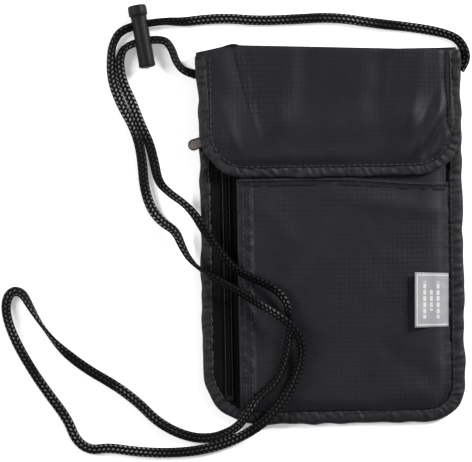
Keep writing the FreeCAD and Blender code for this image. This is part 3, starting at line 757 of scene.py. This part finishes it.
def make_label(satin):
    """The woven label, folded and caught in the right-hand seam, a little askew."""
    width, height = (LABEL_HIGH - LABEL_LOW)[:2]
    u, v = np.meshgrid(np.linspace(0, width, 26), np.linspace(0, height, 36))
    tilt = math.radians(-2.5)
    x = LABEL_LOW[0] - 1.6 + u * math.cos(tilt) - (v - height) * math.sin(tilt) * 0.4
    y = LABEL_LOW[1] + v + (u - width) * math.sin(tilt) * (v / height)
    lift = 0.5 + 2.6 * (1 - smooth(0, 9, u)) + 0.1 * np.sin(v / 6.0)
    z = front_height(x, y) + lift
    piece = slab("woven_label_satin", np.dstack([x, y, z]), np.dstack([u, v]), 0.45, satin)
    settle(piece, "pouch", "label_weave", "woven_label")


# -------------------------------------------------------- zip
COIL_PITCH = 1.25


def make_zip_side(side, sign, tape, coil, thread):
    """One tape of the zip with its row of coils; the two rows lie half a pitch apart."""
    rows = rows_of(FOOT + 4.0, SEAM_TOP - 3.0, CORNER_LEFT, 2.0)
    starts = span(rows, POUCH, SEAM_INSET)[0]
    if side == "left":
        kept = starts < ZIP_MIDDLE - 1.5
        rows, starts, columns = rows[kept], starts[kept], 12
        ends = np.full(len(rows), ZIP_MIDDLE - 0.5)
    else:
        starts, columns = np.maximum(starts, ZIP_MIDDLE + 0.5), 10
        ends = np.maximum(FRONT_LOW[0] + 1.4, starts + 0.4)
    x = np.linspace(starts, ends, columns, axis=1)
    y = np.repeat(rows[:, None], columns, axis=1)
    z = TAPE_TOP - 0.25 + 0.12 * cloth_noise(x, y, 14.0, 3.3)
    for rib, height, width in ((LEFT + 6.6, 0.5, 0.9), (LEFT + 9.4, 0.35, 0.7)):
        z += height * np.exp(-((x - rib) / width) ** 2)
    piece = slab(f"zip_tape_{side}_cloth", np.dstack([x, y, z]), np.dstack([x, y]), 0.35, tape)
    settle(piece, "pouch", "zip_tape", f"zip_tape_{side}")
    foot, top = COIL_LOW[1], COIL_HIGH[1]
    first = foot + 0.3 + (COIL_PITCH / 2 if side == "left" else 0.0)
    z = TAPE_TOP + 0.35
    segments = []
    for y in first + COIL_PITCH * np.arange(int((top - foot) / COIL_PITCH)):
        segments.append(((ZIP_MIDDLE + sign * 2, y - 0.12, z), (ZIP_MIDDLE - sign * 0.35, y + 0.12, z + 0.1)))
    teeth = rods(f"zip_coil_{side}_teeth", segments, 0.44, coil)
    settle(teeth, "pouch", "zip_coil", f"zip_coil_{side}")
    x = ZIP_MIDDLE + sign * 1.75
    row = stitch_row(f"coil_stitches_{side}", [(x, foot), (x, top)], lambda a, b: TAPE_TOP + 0.75,
                     thread, COIL_PITCH, 0.8, 0.14)
    settle(row, "pouch", "zip_tape")


def make_zip(tape, coil, thread, enamel):
    make_zip_side("left", -1, tape, coil, thread)
    make_zip_side("right", 1, tape, coil, thread)
    for node in ("zip_top_stop_left", "zip_top_stop_right", "zip_bottom_stop", "zip_slider"):
        paint(node, enamel)


def paint(node, material):
    """Give a CAD node that keeps its shape a better material."""
    mesh = frame["nodes"][node].data
    mesh.materials.clear()
    mesh.materials.append(material)


# -------------------------------------------------------- flap
FLAP_TOP, FLAP_COLUMNS = HINGE[1], 110
FLAP_ROWS = rows_of(FLAP_LOW[1] + 2.0, FLAP_TOP, FLAP_CORNER, 1.3)


def flap_rows(rows, insets, drop):
    """Rows of points over the closed flap, a drop below its top face, with their cloth coordinates."""
    points, uvs = [], []
    for y, inset in zip(rows, insets):
        x = np.linspace(*span(y, FLAP, inset), FLAP_COLUMNS)
        shift = fold_line(x) * smooth(FLAP_TOP - 30, FLAP_TOP, y)
        points.append(np.stack([x + flap_spread(x, y), y + shift, flap_height(x, y) - drop], 1))
        uvs.append(np.stack([x, np.full(FLAP_COLUMNS, y)], 1))
    return points, uvs


def make_flap_cloth(cloth):
    """The flap's outer cloth, over the fold and down to its seam on the back panel."""
    points, uvs = flap_rows(FLAP_ROWS, 2.0 - 1.7 * smooth(FLAP_TOP - 9, FLAP_TOP, FLAP_ROWS), 0.0)
    x, edge_y, edge_z = points[-1].T
    lean = HEAD - 0.6 - FLAP_TOP
    radius = FLAP_HIGH[2] - 0.6 - HINGE[2]
    for angle in np.radians(np.linspace(80, 0, 9)):
        z = HINGE[2] + (edge_z - HINGE[2]) * math.sin(angle)
        points.append(np.stack([x, edge_y + lean * math.cos(angle), z], 1))
        uvs.append(np.stack([x, np.full(FLAP_COLUMNS, FLAP_TOP + radius * (math.pi / 2 - angle))], 1))
    seam_z = 1.1
    back = HEAD - 0.7 + 0.6 * np.minimum(fold_line(x), 0)
    for z in np.linspace(HINGE[2] - 1.0, seam_z, 6):
        share = (HINGE[2] - z) / (HINGE[2] - seam_z)
        y = edge_y + lean + share * (back - (edge_y + lean))
        points.append(np.stack([x, y, np.full(FLAP_COLUMNS, z)], 1))
        uvs.append(np.stack([x, np.full(FLAP_COLUMNS, FLAP_TOP + radius * math.pi / 2 + HINGE[2] - z)], 1))
    piece = slab("flap_cloth", np.array(points), np.array(uvs), 0.5, cloth)
    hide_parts("flap_outer", "flap_fold")
    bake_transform(piece)


def make_flap_lining(lining):
    rows = FLAP_ROWS[FLAP_ROWS <= FLAP_TOP - 1.0]
    points = np.array(flap_rows(rows, np.full(len(rows), 2.2), 0.62)[0])
    piece = slab("flap_lining_cloth", points, points[..., :2], 0.3, lining)
    settle(piece, "flap", "lining", "flap_lining")


def make_flap_binding(tape, thread):
    path = u_path((0, 0, 0), FLAP_TOP + 0.4, FLAP, 0.6)
    path[:, 1] += fold_line(path[:, 0]) * smooth(FLAP_TOP - 30, FLAP_TOP, path[:, 1])
    path[:, 0] += flap_spread(path[:, 0], path[:, 1])
    share = np.linspace(0, 1, len(path))
    widths = np.interp(share, (0, 0.5, 0.75, 1), (5.6, 5.2, 5.0, 4.4))
    section = [(a, b * 0.5) for a, b in C_SECTION]
    middle = np.array(((FLAP[0] + FLAP[1]) / 2, FLAP_TOP))

    def lowered(x, y):
        """The tape's height over an edge point, from the cloth a little way in."""
        inside = np.array((x, y)) + (middle - (x, y)) * 0.02
        return flap_height(*inside) - 1.25

    band = make_binding("flap_binding_tape", path, section, widths, tape, 0.42, lowered)
    settle(band, "flap", "binding_tape", "flap_binding")
    rows = u_path((6.2, 5.9, 5.4), FLAP_TOP - 1.5, FLAP)
    row = stitch_row("flap_stitches", rows, flap_height, thread)
    settle(row, "flap", "binding_tape")


def make_strips(fuzz):
    """The hook strip under the flap and the loop strip on the front."""
    for node, body in (("hook_strip", "flap"), ("loop_strip", "pouch")):
        low, high = box_mm(node)
        x, y = np.meshgrid(np.linspace(low[0], high[0], 90), np.linspace(low[1], high[1], 24))
        z = high[2] - 0.12 + 0.12 * cloth_noise(x, y, 0.9, 7.7)
        strip = slab(f"{node}_pile", np.dstack([x, y, z]), np.dstack([x, y]), high[2] - low[2] - 0.2, fuzz)
        settle(strip, body, "hook_and_loop", node)


# -------------------------------------------------------- toggle and puller
def lathe(name, start, axis, radius, profile, material):
    """A closed turned piece. Its profile is (distance along the axis, distance outside the radius)."""
    sides = 40
    angles, rim = circle(axis, sides)
    rings, uvs = [], []
    for along, out in profile:
        rings.append(start + axis * along + rim * (radius + out))
        uvs.append(np.column_stack([angles * (radius + out), np.full(sides, along)]))
    rings = np.array(rings)
    rings[..., 2] = np.maximum(rings[..., 2], CLEARANCE)
    return tube(name, rings, np.array(uvs), material)


def make_spring(axis, steel):
    """The coil spring between the barrel and the plunger."""
    low, high = box_mm("toggle_spring")
    middle = (low + high) / 2
    wire, turns = 0.25, 5
    radius = (high[2] - low[2]) / 2 - wire
    ends = (high[1] - low[1]) / abs(axis[1]) / 2 - radius * abs(axis[0]) - wire
    side = np.cross(axis, UP)
    line = []
    for t in np.linspace(0, turns, turns * 24 + 1):
        around = side * math.cos(2 * math.pi * t) + UP * math.sin(2 * math.pi * t)
        line.append(middle + axis * ends * (1 - 2 * t / turns) + radius * around)
    coil = rods("spring_coil", list(zip(line[:-1], line[1:])), wire, steel)
    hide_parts("toggle_spring")
    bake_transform(coil)
    return coil


def make_toggle(plastic, steel):
    """Moulded details on the barrel and its plunger: a dished foot, collars, a cap and mould lines."""
    axis = np.array(JOINTS["plunger_press"]["axis"])
    low, high = box_mm("toggle_barrel")
    radius, middle = (high[2] - low[2]) / 2, (low + high) / 2
    ends = np.array((high[1], box_mm("toggle_plunger")[1][1]))
    length, total = (ends - low[1] - 2 * radius * abs(axis[0])) / abs(axis[1])
    foot, head = middle + axis * length / 2, middle - axis * length / 2
    core = 0.3 - radius
    dish = [(-2.2, -0.1), (-2.0, 0.14), (-0.5, 0.16), (0.1, -0.2), (0.45, -0.9), (0.3, -1.25), (0.0, -1.6),
            (0.0, core)]
    collar = [(0.02, -0.5), (0.0, 0.0), (0.5, 0.18), (1.5, 0.16), (1.9, -0.05), (1.9, -0.5)]
    skirt = total - length + 0.9
    cap = [(skirt, 0.3), (skirt, 0.62), (skirt - 0.4, 0.72), (0.9, 0.7), (0.3, 0.5), (0.0, 0.0), (-0.2, -1.1),
           (-0.25, core)]
    lines = []
    for angle in np.radians((58, 102)):
        offset = (np.cross(axis, UP) * math.cos(angle) + UP * math.sin(angle)) * (radius - 0.12)
        lines.append((head + axis * 4.0 + offset, foot - axis * 2.6 + offset))
    pieces = [lathe("toggle_foot", foot, axis, radius, dish, plastic),
              lathe("toggle_collar", head, axis, radius, collar, plastic),
              rods("toggle_mould_lines", lines, 0.34, plastic)]
    for piece in pieces:
        settle(piece, "toggle", "toggle_plastic")
    coil = make_spring(axis, steel)
    button = lathe("plunger_cap", foot - axis * total, axis, radius, cap, plastic)
    settle(button, "plunger", "toggle_plastic")
    return [*pieces, button, coil]


def make_puller_rim(metal):
    """The raised edge round the pull tab's broad end."""
    pivot = np.array(JOINTS["puller_swivel"]["pos_m"]) / MM
    level = box_mm("zip_puller")[1][2]
    turn, rim_radius = math.radians(200), 0.42
    plan = []
    for centre, radius, first, steps in ((17.8, 2.65, -1.57, 22), (3.6, 1.9, 1.57, 14)):
        for angle in np.linspace(first, first + 3.14, steps):
            plan.append((centre + radius * math.cos(angle), radius * math.sin(angle)))
    x, y = resample(plan + plan[:1], 0.45)[0].T
    c, t = math.cos(turn), math.sin(turn)
    places = np.column_stack([pivot[0] + x * c - y * t, pivot[1] + x * t + y * c, np.full(len(x), level)])
    piece = rods("puller_rim", list(zip(places[:-1], places[1:])), rim_radius, metal)
    settle(piece, "puller", "puller_metal")


# -------------------------------------------------------- neck cord
CORD_WIDTH, CORD_THICKNESS = 5.3, 2.2
# How far the flat braid leans over, in degrees, at distances along its route in millimetres.
CORD_LEAN = [
    (0, 10), (24, 36), (46, 28), (60, 8), (140, 10), (160, 36), (175, 55), (190, 40), (208, 50), (226, 15),
    (300, 8), (316, 28), (328, 62), (337, 80), (352, 130), (384, 138), (402, 150), (440, 162), (476, 178),
    (560, 184), (652, 192), (664, 232), (676, 262), (690, 300), (700, 332), (712, 356), (784, 364),
    (802, 392), (826, 408), (856, 410), (886, 404), (930, 398), (948, 384), (960, 406), (974, 398),
    (990, 372), (1044, 374), (1056, 412), (1066, 400), (1082, 412), (1096, 408), (1107, 380),
]
# The cord's route, in millimetres, from the right-hand seam round to the left-hand seam.
CORD_ROUTE = [
    (69.7, 87.5, 1.9), (73.2, 92, 1.9), (72.6, 98.5, 1.8), (68.5, 104.5, 1.8), (60, 107.7, 1.8),
    (45, 110.6, 1.8), (25, 113, 1.8), (3, 116.9, 1.8), (-22, 115.8, 1.8), (-39, 115.6, 1.8),
    (-54, 117.2, 1.8), (-67, 116.6, 1.8), (-77.5, 115.4, 2.8), (-88, 116.1, 4.3), (-109.2, 112.8, 4.3),
    (-115.2, 104.6, 3), (-116.2, 94.5, 1.8), (-115.2, 83, 1.8), (-110.6, 71, 1.8), (-105.5, 61.8, 1.8),
    (-101.9, 52, 1.8), (-100.3, 41, 1.8), (-99.6, 28, 1.8), (-96.3, 16.5, 1.8), (-90.5, 9, 2.2),
    (-83, 4.2, 5.2), (-79.6, -4.5, 8.8), (-75, -12.6, 9.4), (-65.5, -20, 9.6), (-55.9, -25, 9.9),
    (-45.5, -31.2, 10.4), (-36.5, -37, 12.4), (-28.6, -41.8, 14.4), (-20.4, -48.8, 14.4), (-17, -58, 11.8),
    (-18.2, -68, 10.2), (-22.2, -78.4, 10), (-28, -87.8, 10.2), (-36, -96.6, 9.8), (-46, -103.8, 4.6),
    (-57, -109.2, 1.8), (-72, -113.2, 1.8), (-91, -114.2, 1.8), (-108, -112.9, 1.8), (-121, -110.6, 1.8),
    (-131, -112, 1.8), (-138.4, -106.4, 1.8), (-142.6, -95, 1.8), (-151.8, -82.4, 1.8), (-160, -70.4, 1.8),
    (-168.6, -55.2, 1.8), (-173.8, -42, 1.8), (-174.6, -32, 1.8), (-171, -26, 1.8), (-165.4, -27.2, 1.8),
    (-161.4, -34.8, 1.8), (-155, -45.6, 1.8), (-145.5, -57.8, 1.8), (-132, -68.6, 1.8), (-117, -77.4, 1.8),
    (-105, -86.6, 1.8), (-94, -98.2, 1.8), (-79.5, -105.6, 1.8), (-66, -107, 1.8), (-55.5, -103.3, 2),
    (-49.4, -97.9, 6.4), (-45.2, -91, 10.6), (-40.6, -84, 10.4), (-31.5, -77.2, 10), (-26.5, -67, 10),
    (-24.2, -55.4, 10), (-23.2, -44, 9.9), (-24.4, -35, 9.9), (-30.4, -27.4, 9.9), (-40.5, -22.4, 9.9),
    (-51, -17.6, 9.9), (-58, -9.6, 9.8), (-65.4, 0.1, 9.6), (-71.5, 11.2, 9.4), (-78, 18.6, 8.4),
    (-86, 24.2, 4), (-92, 30.5, 1.8), (-94, 41, 1.8), (-96.2, 51, 1.8), (-101.2, 62, 1.8),
    (-105.1, 73.1, 1.8), (-110.4, 84.4, 1.8), (-112, 95.8, 2.8), (-107.9, 104, 4.3), (-88, 107.1, 4.3),
    (-83.4, 101.4, 3), (-81.4, 94.2, 1.9), (-76.8, 88.6, 1.9), (-69.8, 87.3, 1.9),
]


def cord_spline():
    curve = bpy.data.curves.new("cord_line", "CURVE")
    curve.dimensions = "3D"
    curve.resolution_u = 24
    spline = curve.splines.new("NURBS")
    spline.points.add(len(CORD_ROUTE) - 1)
    for point, place in zip(spline.points, metres(CORD_ROUTE)):
        point.co = (*place, 1.0)
    spline.order_u = 3
    spline.use_endpoint_u = True
    holder = put("cord_line", curve)
    bpy.context.view_layer.update()
    line = bpy.data.meshes.new_from_object(holder.evaluated_get(bpy.context.evaluated_depsgraph_get()))
    points = np.array([v.co for v in line.vertices]) / MM
    bpy.data.objects.remove(holder)
    bpy.data.meshes.remove(line)
    return points


def make_cord(braid, toggle_pieces):
    """The flat braid: an oval section that leans over and twists in places along its route."""
    line, at = resample(cord_spline(), 0.6)
    tangent = unit(np.gradient(line, axis=0))
    side = unit(np.cross(tangent, UP))
    up = np.cross(side, tangent)
    places, degrees = np.array(CORD_LEAN, float).T
    twist = np.radians(np.interp(at, places, degrees)) + 0.12 * cloth_noise(at, 0.0, 19.0, 12.5)
    sides, columns, power, floor_gap = 28, 6, 0.8, 0.05
    angles = np.linspace(0, 2 * math.pi, sides, endpoint=False)
    flat_x = np.sign(np.cos(angles)) * np.abs(np.cos(angles)) ** power * CORD_WIDTH / 2
    flat_z = np.sign(np.sin(angles)) * np.abs(np.sin(angles)) ** power * CORD_THICKNESS / 2
    rings = []
    for i in range(len(line)):
        c, s = math.cos(twist[i]), math.sin(twist[i])
        a, b = flat_x * c - flat_z * s, flat_x * s + flat_z * c
        ring = line[i] + np.outer(a, side[i]) + np.outer(b, up[i])
        ring[:, 2] += max(floor_gap - ring[:, 2].min(), 0)
        rings.append(ring)
    perimeter = distances(np.stack([flat_x, flat_z], 1))
    scale = BRAID_COLUMN * columns / (perimeter[-1] * sides / (sides - 1))
    uvs = [np.column_stack([np.full(sides, a), perimeter * scale]) for a in at]
    piece = tube("neck_cord_braid", np.array(rings), np.array(uvs), braid)
    settle(piece, "pouch", "braided_cord", "neck_cord")


# -------------------------------------------------------- build
make_camera()
make_stage()
RIPSTOP = ripstop_material("ripstop_nylon", 1.0)
# The slip pocket's front is the same ripstop with its colours painted 1.55 times lighter: painted light for
# the brighter front panel.
POCKET_CLOTH_PAINTED_LIGHTER = ripstop_material("pocket_ripstop_painted_lighter", 1.55)
LINING = plain_cloth_material("black_lining", (0.004, 0.004, 0.005), (0.008, 0.008, 0.010))
TAPE = plain_cloth_material("binding_tape", (0.0046, 0.0042, 0.0056), (0.0088, 0.0080, 0.0104), 0.42, 0.03,
                            (0.5, 0.7), 0.24)
# The zip tape is black, and its colours are painted darker still: painted shade for the recessed zip channel.
ZIP_TAPE_WITH_PAINTED_SHADE = plain_cloth_material("zip_tape", (0.0006, 0.0006, 0.0007), (0.0016, 0.0016, 0.0018), 0.5, 0.0,
                                (0.6, 0.8), 0.08)
THREAD = plain_cloth_material("sewing_thread", (0.008, 0.0077, 0.009), (0.019, 0.018, 0.021), 0.3, 0.08)
FUZZ = plain_cloth_material("hook_and_loop", (0.005, 0.005, 0.006), (0.014, 0.014, 0.016), 0.7, 0.5,
                            (0.8, 0.95))
# The coil is black nylon, and its colours are painted darker still: painted shade for the recessed zip
# channel.
COIL = plastic_material("nylon_coil_with_painted_shade", (0.0008, 0.0008, 0.0009), (0.0022, 0.0022, 0.0024), (0.45, 0.6))
ENAMEL = plastic_material("black_enamel", (0.005, 0.005, 0.006), (0.01, 0.01, 0.011), (0.25, 0.4))
CHARCOAL = plastic_material("charcoal_plastic", (0.0075, 0.0075, 0.008), (0.012, 0.012, 0.0125), (0.38, 0.5))
NICKEL = metal_material("warm_nickel", (0.22, 0.19, 0.175), (0.30, 0.26, 0.24), (0.35, 0.5))
DARK_NICKEL = metal_material("dark_nickel", (0.05, 0.045, 0.042), (0.09, 0.08, 0.075), (0.35, 0.5))
STEEL = metal_material("spring_wire", (0.55, 0.55, 0.55), (0.7, 0.7, 0.7), (0.2, 0.3))
FILM = metal_material("shield_film", (0.5, 0.5, 0.52), (0.65, 0.65, 0.67), (0.35, 0.5))

make_cord(braid_material(), make_toggle(CHARCOAL, STEEL))
make_puller_rim(DARK_NICKEL)
make_back_panel(RIPSTOP)
make_inner_panels(RIPSTOP, LINING)
make_front_panel(POCKET_CLOTH_PAINTED_LIGHTER)
make_front_hem(RIPSTOP, THREAD)
make_edge_binding(TAPE, THREAD)
make_label(label_material())
make_zip(ZIP_TAPE_WITH_PAINTED_SHADE, COIL, THREAD, ENAMEL)
make_flap_cloth(RIPSTOP)
make_flap_lining(LINING)
make_flap_binding(TAPE, THREAD)
make_strips(FUZZ)
paint("zip_puller", NICKEL)
paint("toggle_barrel", CHARCOAL)
paint("toggle_plunger", CHARCOAL)
paint("shielding_layer", FILM)
make_front_edge_stitches(THREAD)
